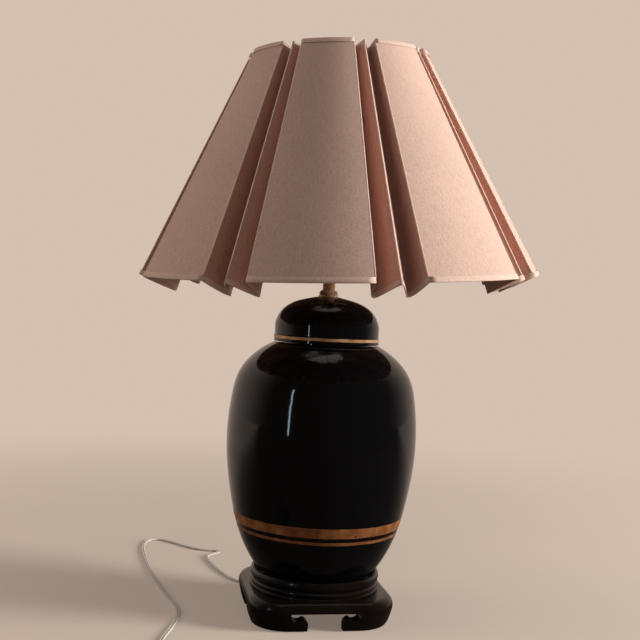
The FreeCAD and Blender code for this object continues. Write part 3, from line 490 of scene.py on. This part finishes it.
def twin_section():
    """Two round cores side by side with a web between them."""
    offset = CORD_WIDTH / 2 - LOBE
    limit = math.pi - math.acos(offset / LOBE)
    turns = [limit * (2 * i / LOBE_STEPS - 1) for i in range(LOBE_STEPS + 1)]
    right = [(offset + LOBE * math.cos(t), LOBE * math.sin(t)) for t in turns]
    left = [(-a, -b) for a, b in right]
    return right + left


def make_cord():
    """The flat cord with its coil, and the line that it follows."""
    path = spline_points("cord_line", cord_points())
    cord = swept("cord", path, twin_section())
    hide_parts("cord_run", "cord_coil")
    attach(cord, "base")
    return cord, path


def make_tie(look):
    """Strip of paper-covered wire wound round the coil's turns."""
    middle = COIL_RADIUS - COIL_PITCH * (TURNS_IN + TURNS_LIFT) / 2
    bearing = math.radians(TIE_BEARING)
    out = Vector((math.cos(bearing), math.sin(bearing), 0))
    along = Vector((-out.y, out.x, 0))
    centre = Vector((*COIL_CENTRE, 0)) + out * middle
    rounds = []
    for i in range(TIE_ROUNDS * TIE_STEPS + 1):
        turn = 2 * math.pi * i / TIE_STEPS
        reach = TIE_REACH * math.cos(turn)
        shift = TIE_SHIFT * i / TIE_STEPS
        height = Vector((0, 0, TIE_HEIGHT + TIE_RISE * math.sin(turn)))
        rounds.append((centre + out * reach + along * shift + height) * MM)
    width = TIE_WIDTH / 2 * MM
    thick = TIE_THICKNESS / 2 * MM
    section = [(width, thick), (-width, thick), (-width, -thick), (width, -thick)]
    band = swept("coil_tie", rounds, section, along)
    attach(band, "base")
    look.on(band)
    return band


# ---- shade -----------------------------------------------------------------------------------
def lean_matrix():
    """Tilt of the shade about its seat, toward one side."""
    across = math.radians(LEAN_TOWARD + 90)
    axis = Vector((math.cos(across), math.sin(across), 0))
    return Matrix.Translation(SEAT) @ Matrix.Rotation(math.radians(LEAN), 4, axis)


LEANING = lean_matrix()


def sheet_point(degrees, share, slant, lift=0.0):
    """Point of the pleated sheet: its angle, its share of the outer radius, and its slant distance."""
    radius = slant * LOW_RADIUS / SLANT_LOW * share + lift
    angle = math.radians(degrees)
    height = APEX - math.sqrt(slant ** 2 - radius ** 2)
    return LEANING @ Vector((radius * math.cos(angle), radius * math.sin(angle), height))


def slants(count, low=SLANT_LOW, high=SLANT_HIGH):
    """Evenly spaced slant distances from the bottom rim to the top rim, or between two others."""
    return [low + (high - low) * i / (count - 1) for i in range(count)]


def panel_middle(index):
    return SHADE_TURN - 90 + PITCH * index


def gore_middle(index):
    return SHADE_TURN - 90 + PITCH * (index + 0.5)


def panel_profile():
    """(angle from the panel's middle, share of the outer radius) across one panel."""
    return [(PANEL_HALF * (2 * i / (PANEL_POINTS - 1) - 1), 1.0) for i in range(PANEL_POINTS)]


def gore_profile():
    """The same across one fold: a wall inwards, a soft cove, and a wall out to a crisp ridge."""
    depth = 1.0 - FOLD_SHARE
    half = [(CORNER, 1.0 - CARD / LOW_RADIUS)]
    half += [(CORNER * angle, 1.0 - share * depth) for angle, share in WALL]
    half += [(FOLD_ANGLE * angle, FOLD_SHARE + share * depth) for angle, share in COVE]
    half.append((0.0, RIDGE_SHARE))
    return half + [(-angle, share) for angle, share in half[-2::-1]]


def fabric_sheet(name, middle, profile):
    """One piece of the shade's silk with its card and lining inside, and a weave that runs down it."""
    rows = []
    uv = []
    for slant in slants(SHEET_ROWS):
        row = []
        across = 0.0
        for angle, share in profile:
            point = sheet_point(middle + angle, share, slant)
            if row:
                across += (point - row[-1]).length
            row.append(point)
            uv.append((across * SLANT_LOW / slant + middle, slant))   # middle: each piece its own weave
        rows.append(row)
    piece = grid_object(name, rows)
    lay_uv(piece, uv)
    outward = piece.data.polygons[0].normal.dot(piece.data.vertices[0].co - SEAT)
    solid = piece.modifiers.new("thickness", "SOLIDIFY")
    solid.thickness = CARD
    solid.offset = -1.0 if outward > 0 else 1.0
    solid.use_even_offset = True
    solid.material_offset = 1
    crisp = piece.modifiers.new("crisp_edges", "EDGE_SPLIT")
    crisp.split_angle = math.radians(PLEAT_CREASE)
    return piece


def shade_path(slant, lift):
    """Points all the way round the shade at one slant distance."""
    around = []
    for index in range(PANELS):
        for angle, share in panel_profile():
            around.append(sheet_point(panel_middle(index) + angle, share, slant, lift))
        for angle, share in reversed(gore_profile()[1:-1]):
            around.append(sheet_point(gore_middle(index) + angle, share, slant, lift))
    return around


def rim_binding(name, edge, inward):
    """Folded strip that wraps one rim: outside, over the edge, and a little way up the inside."""
    rows = [shade_path(edge + inward * distance, lift) for distance, lift in RIM_STRIP]
    band = grid_object(name, rows, closed_across=True)
    uv = []
    for j, row in enumerate(rows):
        along = 0.0
        for i, point in enumerate(row):
            if i:
                along += (point - row[i - 1]).length
            uv.append((j * RIM_UV_STEP, along))
    lay_uv(band, uv)
    return band


def edge_line(name, degrees, share):
    """Narrow raised fold that runs down one edge of a pleat, from binding to binding."""
    points = [sheet_point(degrees, share, slant, EDGE_LIFT) for slant in
              slants(EDGE_ROWS, SLANT_LOW - BINDING, SLANT_HIGH + BINDING)]
    line = swept(name, points, round_section(EDGE_RADIUS, EDGE_SIDES))
    across, down = EDGE_UV_STEPS
    uv = [(across * (v.index % EDGE_SIDES), down * (v.index // EDGE_SIDES)) for v in line.data.vertices]
    lay_uv(line, uv)
    return line


def dress_shade(silk, fold_silk_painted_bounce, trim, edging_painted_highlight, lining):
    """Silk on every panel and fold, raised edges on the pleats, and a binding on each rim."""
    for index in range(PANELS):
        number = str(index + 1)
        panel = fabric_sheet("panel_silk_" + number, panel_middle(index), panel_profile())
        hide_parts("shade_panel_" + number)
        fold = fabric_sheet("gore_silk_" + number, gore_middle(index), list(reversed(gore_profile())))
        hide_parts("shade_gore_" + number)
        # the folds take the redder copy of the silk, painted bounce light and shade
        for piece, cloth in ((panel, silk), (fold, fold_silk_painted_bounce)):
            cloth.on(piece)
            piece.data.materials.append(lining.material)
            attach(piece, "shade")
        for name, degrees, share in (("panel_edge_left_", panel_middle(index) - PANEL_HALF, 1.0),
                                     ("panel_edge_right_", panel_middle(index) + PANEL_HALF, 1.0),
                                     ("ridge_edge_", gore_middle(index), RIDGE_SHARE)):
            line = edge_line(name + number, degrees, share)
            edging_painted_highlight.on(line)
            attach(line, "shade")
    for name, node, edge, inward in (("binding_low", "shade_bottom_binding", SLANT_LOW, -1),
                                     ("binding_high", "shade_top_binding", SLANT_HIGH, 1)):
        band = rim_binding(name, edge, inward)
        trim.on(band)
        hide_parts(node)
        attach(band, "shade")


# ---- plug ------------------------------------------------------------------------------------
def plug_frame():
    """Middle of the plug's body, and the level way that its blades point."""
    low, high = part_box("plug_body")
    tip_low, tip_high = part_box("plug_blades")
    centre = (Vector(low) + Vector(high)) / 2
    way = (Vector(tip_low) + Vector(tip_high)) / 2 - centre
    way.z = 0
    way.normalize()
    return centre, way


def squared(value):
    """Sine or cosine bent so that a circle becomes a square with round corners."""
    return math.copysign(math.sqrt(abs(value)), value)


def make_plug(look):
    """Moulded plug: a flat grip that widens toward the blades, and a ribbed sleeve for the cord."""
    centre, way = plug_frame()
    side = Vector((-way.y, way.x, 0))
    turns = [2 * math.pi * i / PLUG_SIDES for i in range(PLUG_SIDES)]
    rows = []
    for along, half_width, half_height in PLUG_STATIONS:
        middle = centre + way * along
        rows.append([middle + side * (half_width * squared(math.cos(t)))
                     + Vector((0, 0, half_height * squared(math.sin(t)))) for t in turns])
    body = grid_object("plug_moulding", rows, closed_across=True)
    close_ends(body, PLUG_SIDES)
    body.data.set_sharp_from_angle(angle=math.radians(PLUG_CREASE))
    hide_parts("plug_body")
    start = -PLUG_STATIONS[0][0] - SLEEVE_OVERLAP
    sleeve_path = [centre - way * (start + SLEEVE_PITCH * i) for i in range(SLEEVE_RINGS)]
    sleeve = swept("plug_sleeve", sleeve_path, round_section(1.0, SLEEVE_SIDES, SLEEVE_FLATNESS))
    ring_points = list(sleeve.data.vertices)
    for i, point in enumerate(sleeve_path):
        half_width = SLEEVE_HALF_WIDTH - SLEEVE_TAPER * i + (SLEEVE_RIB if i % 2 else 0.0)
        for vertex in ring_points[i * SLEEVE_SIDES:(i + 1) * SLEEVE_SIDES]:
            vertex.co = point + (vertex.co - point) * half_width
    for piece in (body, sleeve):
        look.on(piece)
        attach(piece, "base")
    return [body, sleeve]


# ---- the lamp --------------------------------------------------------------------------------
make_camera()
cord, cord_path = make_cord()

silk = silk_look("silk", (0.60, 0.410, 0.335))
# the folds' silk is a redder copy of the panels' silk: painted bounce light and shade in the folds
fold_silk_painted_bounce = silk_look("fold_silk_painted_bounce", (0.60, 0.345, 0.27))
trim = silk_look("silk_trim", (0.67, 0.475, 0.39), slub=0.05)
# lighter silk on the pleats' edges: pale piping, lightened further as a painted highlight where the edges
# catch the light
edging_painted_highlight = silk_look("silk_edging", (0.84, 0.63, 0.53), slub=0.05)
# the lining's colour is darkened as painted shade inside the shade
lining = plastic_look("lining", (0.46, 0.27, 0.21), 0.7, 500.0, 0.02)
# the jar's gold is painted darker as shade, the lid's gold painted lighter as a highlight
glaze = glaze_look("glaze", [WIDE_BAND, NARROW_BAND], JAR_GILT_PAINTED_SHADE)
lid_glaze = glaze_look("lid_glaze", [LID_LINE], LID_GILT_PAINTED_HIGHLIGHT)
turned_wood = wood_look("turned_wood", (1.0, 1.0, 6.0))
carved_wood = wood_look("carved_wood", (0.35, 1.0, 1.4))
copper = metal_look("copper_brass", (0.74, 0.41, 0.26), (0.52, 0.26, 0.15), 0.38, 0.45)
ring_brass = metal_look("ring_brass", (0.86, 0.58, 0.34), (0.55, 0.32, 0.17), 0.26, 0.55)
plain_brass = metal_look("brass", (0.66, 0.46, 0.22), (0.42, 0.27, 0.11), 0.28)
steel = metal_look("steel", (0.56, 0.56, 0.57), (0.38, 0.38, 0.39), 0.3)
enamel = plastic_look("wire_enamel", (0.70, 0.66, 0.58), 0.35, 400.0)
phenolic = plastic_look("phenolic", (0.018, 0.016, 0.015), 0.35)
flex = plastic_look("flex", (0.60, 0.55, 0.49), 0.38, 1200.0, 0.03)
felt = plastic_look("felt", (0.03, 0.028, 0.025), 0.95, 1500.0)
rubber = plastic_look("rubber", (0.02, 0.02, 0.02), 0.7)
card_tube = plastic_look("card_tube", (0.36, 0.27, 0.17), 0.85, 700.0)
paper = plastic_look("tie_paper", (0.75, 0.72, 0.66), 0.8, 800.0)
bulb_glass = Look("bulb_glass", (0.86, 0.85, 0.82), 0.35, Transmission_Weight=0.35, IOR=1.45)
bulb_glass.bump(bulb_glass.noise(bulb_glass.coordinates(), 500.0), 0.05, 0.0002)

LOOKS = [
    (glaze, ["jar"]),
    (lid_glaze, ["lid"]),
    (turned_wood, ["stand_ring"]),
    (carved_wood, ["stand_frame"]),
    (copper, ["neck_tube", "finial"]),
    (ring_brass, ["check_ring"]),
    (plain_brass, ["socket_cap", "socket_shell", "harp_saddle", "harp", "harp_ferrule_left",
                   "harp_ferrule_right", "screw_shell", "centre_contact", "terminal_screws", "bulb_cap",
                   "plug_blades"]),
    (steel, ["frame_screws", "base_washer", "base_lock_washer", "base_nut", "lamp_pipe", "saddle_locknut",
             "cap_set_screw", "switch_shaft"]),
    (enamel, ["shade_top_frame", "shade_bottom_frame", "shade_ribs"]),
    (phenolic, ["socket_interior", "switch_knob", "cord_bushing"]),
    (flex, ["cord_inside"]),
    (felt, ["felt_pads"]),
    (rubber, ["jar_gasket"]),
    (card_tube, ["socket_liner"]),
    (bulb_glass, ["bulb_glass"]),
]
for look, names in LOOKS:
    for name in names:
        look.on(smooth_node(name))

for name, width in WORN_EDGES:
    edge = nodes[name].modifiers.new("worn_edges", "BEVEL")
    edge.width = width
    edge.segments = 2
    edge.limit_method = "ANGLE"
    edge.angle_limit = math.radians(WORN_ANGLE)

flex.on(cord)
plug_pieces = make_plug(flex)
tie = make_tie(paper)
for piece in [cord, tie] + plug_pieces:
    piece.visible_glossy = False     # the coil is outside the picture, and so the jar doesn't mirror it
dress_shade(silk, fold_silk_painted_bounce, trim, edging_painted_highlight, lining)


# ---- room ------------------------------------------------------------------------------------
BACKDROP = (0.66, 0.53, 0.44)
FLOOR = (0.66, 0.55, 0.47)
FLOOR_HALF = 9.0
FADE = (0.35, 1.7)               # distances between which the floor fades into the backdrop
FADE_LEAST = 0.28                # share of the backdrop in the floor next to the lamp
BOUNCE = 0.45                    # share of the floor's colour that it throws back up at the lamp
FILL_COLOUR = (1.0, 0.91, 0.86)
FILL = 0.10
BEHIND = 0.8                     # how strongly reflections show the backdrop behind the lamp
IN_FRONT = 0.08                  # and the unlit side of the room, in front of it
FLOOR_TURN = (-0.1, 0.6)         # Y between which the floor's reflection goes from one to the other
WORLD_TURN = (-0.25, 0.6)        # Y of the direction, for the world's reflection


def join_rays(tree, first, second):
    """The larger of two shares, such as the flags of two kinds of ray."""
    larger = tree.nodes.new("ShaderNodeMath")
    larger.operation = "MAXIMUM"
    for socket, source in zip(larger.inputs, (first, second)):
        tree.links.new(source, socket)
    return larger.outputs["Value"]


def smooth_step(tree, source, limits, low=0.0, high=1.0):
    """From low to high, smoothly, while the source goes through its limits."""
    step = tree.nodes.new("ShaderNodeMapRange")
    step.interpolation_type = "SMOOTHSTEP"
    for socket, value in zip(("From Min", "From Max", "To Min", "To Max"), (*limits, low, high)):
        step.inputs[socket].default_value = value
    tree.links.new(source, step.inputs["Value"])
    return step.outputs["Result"]


def share_behind(tree, place, limits):
    """How strongly a reflection shows the backdrop, from front to back along Y."""
    split = tree.nodes.new("ShaderNodeSeparateXYZ")
    tree.links.new(place, split.inputs["Vector"])
    return smooth_step(tree, split.outputs["Y"], limits, IN_FRONT, BEHIND)


def make_floor():
    """Pale floor that takes the lamp's shadow and fades into the backdrop further out."""
    corners = [(x * FLOOR_HALF, y * FLOOR_HALF, 0) for x, y in ((-1, -1), (1, -1), (1, 1), (-1, 1))]
    floor = mesh_object("floor", corners, [(0, 1, 2, 3)], False)
    look = Look("floor", FLOOR, 0.9, Specular_IOR_Level=0.1)
    place = look.coordinates()
    behind = share_behind(look.tree, place, FLOOR_TURN)
    path = look.add("ShaderNodeLightPath")
    grain = look.ramp(look.noise(place, 5.0), [(0.3, tuple(0.97 * c for c in FLOOR)), (0.7, FLOOR)])
    mirrored = look.mix(1.0, grain, behind, "MULTIPLY")
    shown = look.mix(path.outputs["Is Glossy Ray"], grain, mirrored)
    look.feed(look.mix(path.outputs["Is Diffuse Ray"], shown, tuple(BOUNCE * c for c in FLOOR)), "Base Color")
    distance = look.add("ShaderNodeVectorMath", operation="LENGTH")
    look.link(place, distance.inputs[0])
    far = smooth_step(look.tree, distance.outputs["Value"], FADE, FADE_LEAST)
    backdrop = look.add("ShaderNodeEmission", Color=(*BACKDROP, 1.0))
    straight = join_rays(look.tree, path.outputs["Is Camera Ray"], path.outputs["Is Transmission Ray"])
    seen = join_rays(look.tree, straight, path.outputs["Is Glossy Ray"])
    look.link(join_rays(look.tree, straight, behind), backdrop.inputs["Strength"])
    blend = look.add("ShaderNodeMixShader")
    look.link(look.math("MULTIPLY", far, seen), blend.inputs["Fac"])
    look.link(look.shader.outputs["BSDF"], blend.inputs[1])
    look.link(backdrop.outputs["Emission"], blend.inputs[2])
    output = next(n for n in look.tree.nodes if n.type == "OUTPUT_MATERIAL")
    look.link(blend.outputs["Shader"], output.inputs["Surface"])
    look.on(floor)


def make_world():
    """Soft fill all round, and the pale backdrop for the rays that show it."""
    world = bpy.data.worlds.new("room")
    bpy.context.scene.world = world
    world.use_nodes = True
    tree = world.node_tree
    tree.nodes.clear()
    shades = []
    for colour, strength in ((FILL_COLOUR, FILL), (BACKDROP, 1.0), (BACKDROP, 1.0)):
        shade = tree.nodes.new("ShaderNodeBackground")
        shade.inputs["Color"].default_value = (*colour, 1.0)
        shade.inputs["Strength"].default_value = strength
        shades.append(shade)
    fill, reflected, direct = shades
    way = tree.nodes.new("ShaderNodeTexCoord")
    tree.links.new(share_behind(tree, way.outputs["Generated"], WORLD_TURN), reflected.inputs["Strength"])
    path = tree.nodes.new("ShaderNodeLightPath")
    straight = join_rays(tree, path.outputs["Is Camera Ray"], path.outputs["Is Transmission Ray"])
    mirrored = tree.nodes.new("ShaderNodeMixShader")
    seen = tree.nodes.new("ShaderNodeMixShader")
    output = tree.nodes.new("ShaderNodeOutputWorld")
    for source, target in (
            (path.outputs["Is Glossy Ray"], mirrored.inputs["Fac"]),
            (fill.outputs["Background"], mirrored.inputs[1]),
            (reflected.outputs["Background"], mirrored.inputs[2]),
            (straight, seen.inputs["Fac"]),
            (mirrored.outputs["Shader"], seen.inputs[1]),
            (direct.outputs["Background"], seen.inputs[2]),
            (seen.outputs["Shader"], output.inputs["Surface"])):
        tree.links.new(source, target)


def area_light(name, place, target, size, power, colour, glossy=True):
    data = bpy.data.lights.new(name, "AREA")
    data.shape = "RECTANGLE"
    data.size, data.size_y = size
    data.energy = power
    data.color = colour
    lamp = bpy.data.objects.new(name, data)
    lamp.location = place
    lamp.rotation_euler = (Vector(target) - Vector(place)).to_track_quat("-Z", "Y").to_euler()
    lamp.visible_glossy = glossy
    bpy.context.scene.collection.objects.link(lamp)


make_floor()
make_world()
area_light("window_right", place=(3.23, -1.05, 1.03), target=(0, 0, 0.5), size=(1.0, 1.2), power=226,
           colour=(1.0, 0.99, 0.95), glossy=False)
area_light("window_left", place=(-1.9, -1.6, 0.72), target=(0, 0, 0.35), size=(0.07, 1.15), power=2.2,
           colour=(0.62, 0.82, 1.0))
area_light("wall_left", place=(-2.2, 0.2, 1.2), target=(0, 0, 0.5), size=(1.5, 1.5), power=17,
           colour=(1.0, 0.86, 0.77), glossy=False)
area_light("ceiling", place=(0.2, -0.6, 2.6), target=(0, 0, 0.3), size=(2.2, 2.2), power=8,
           colour=(1.0, 0.90, 0.84))
bpy.context.scene.view_settings.view_transform = "Standard"
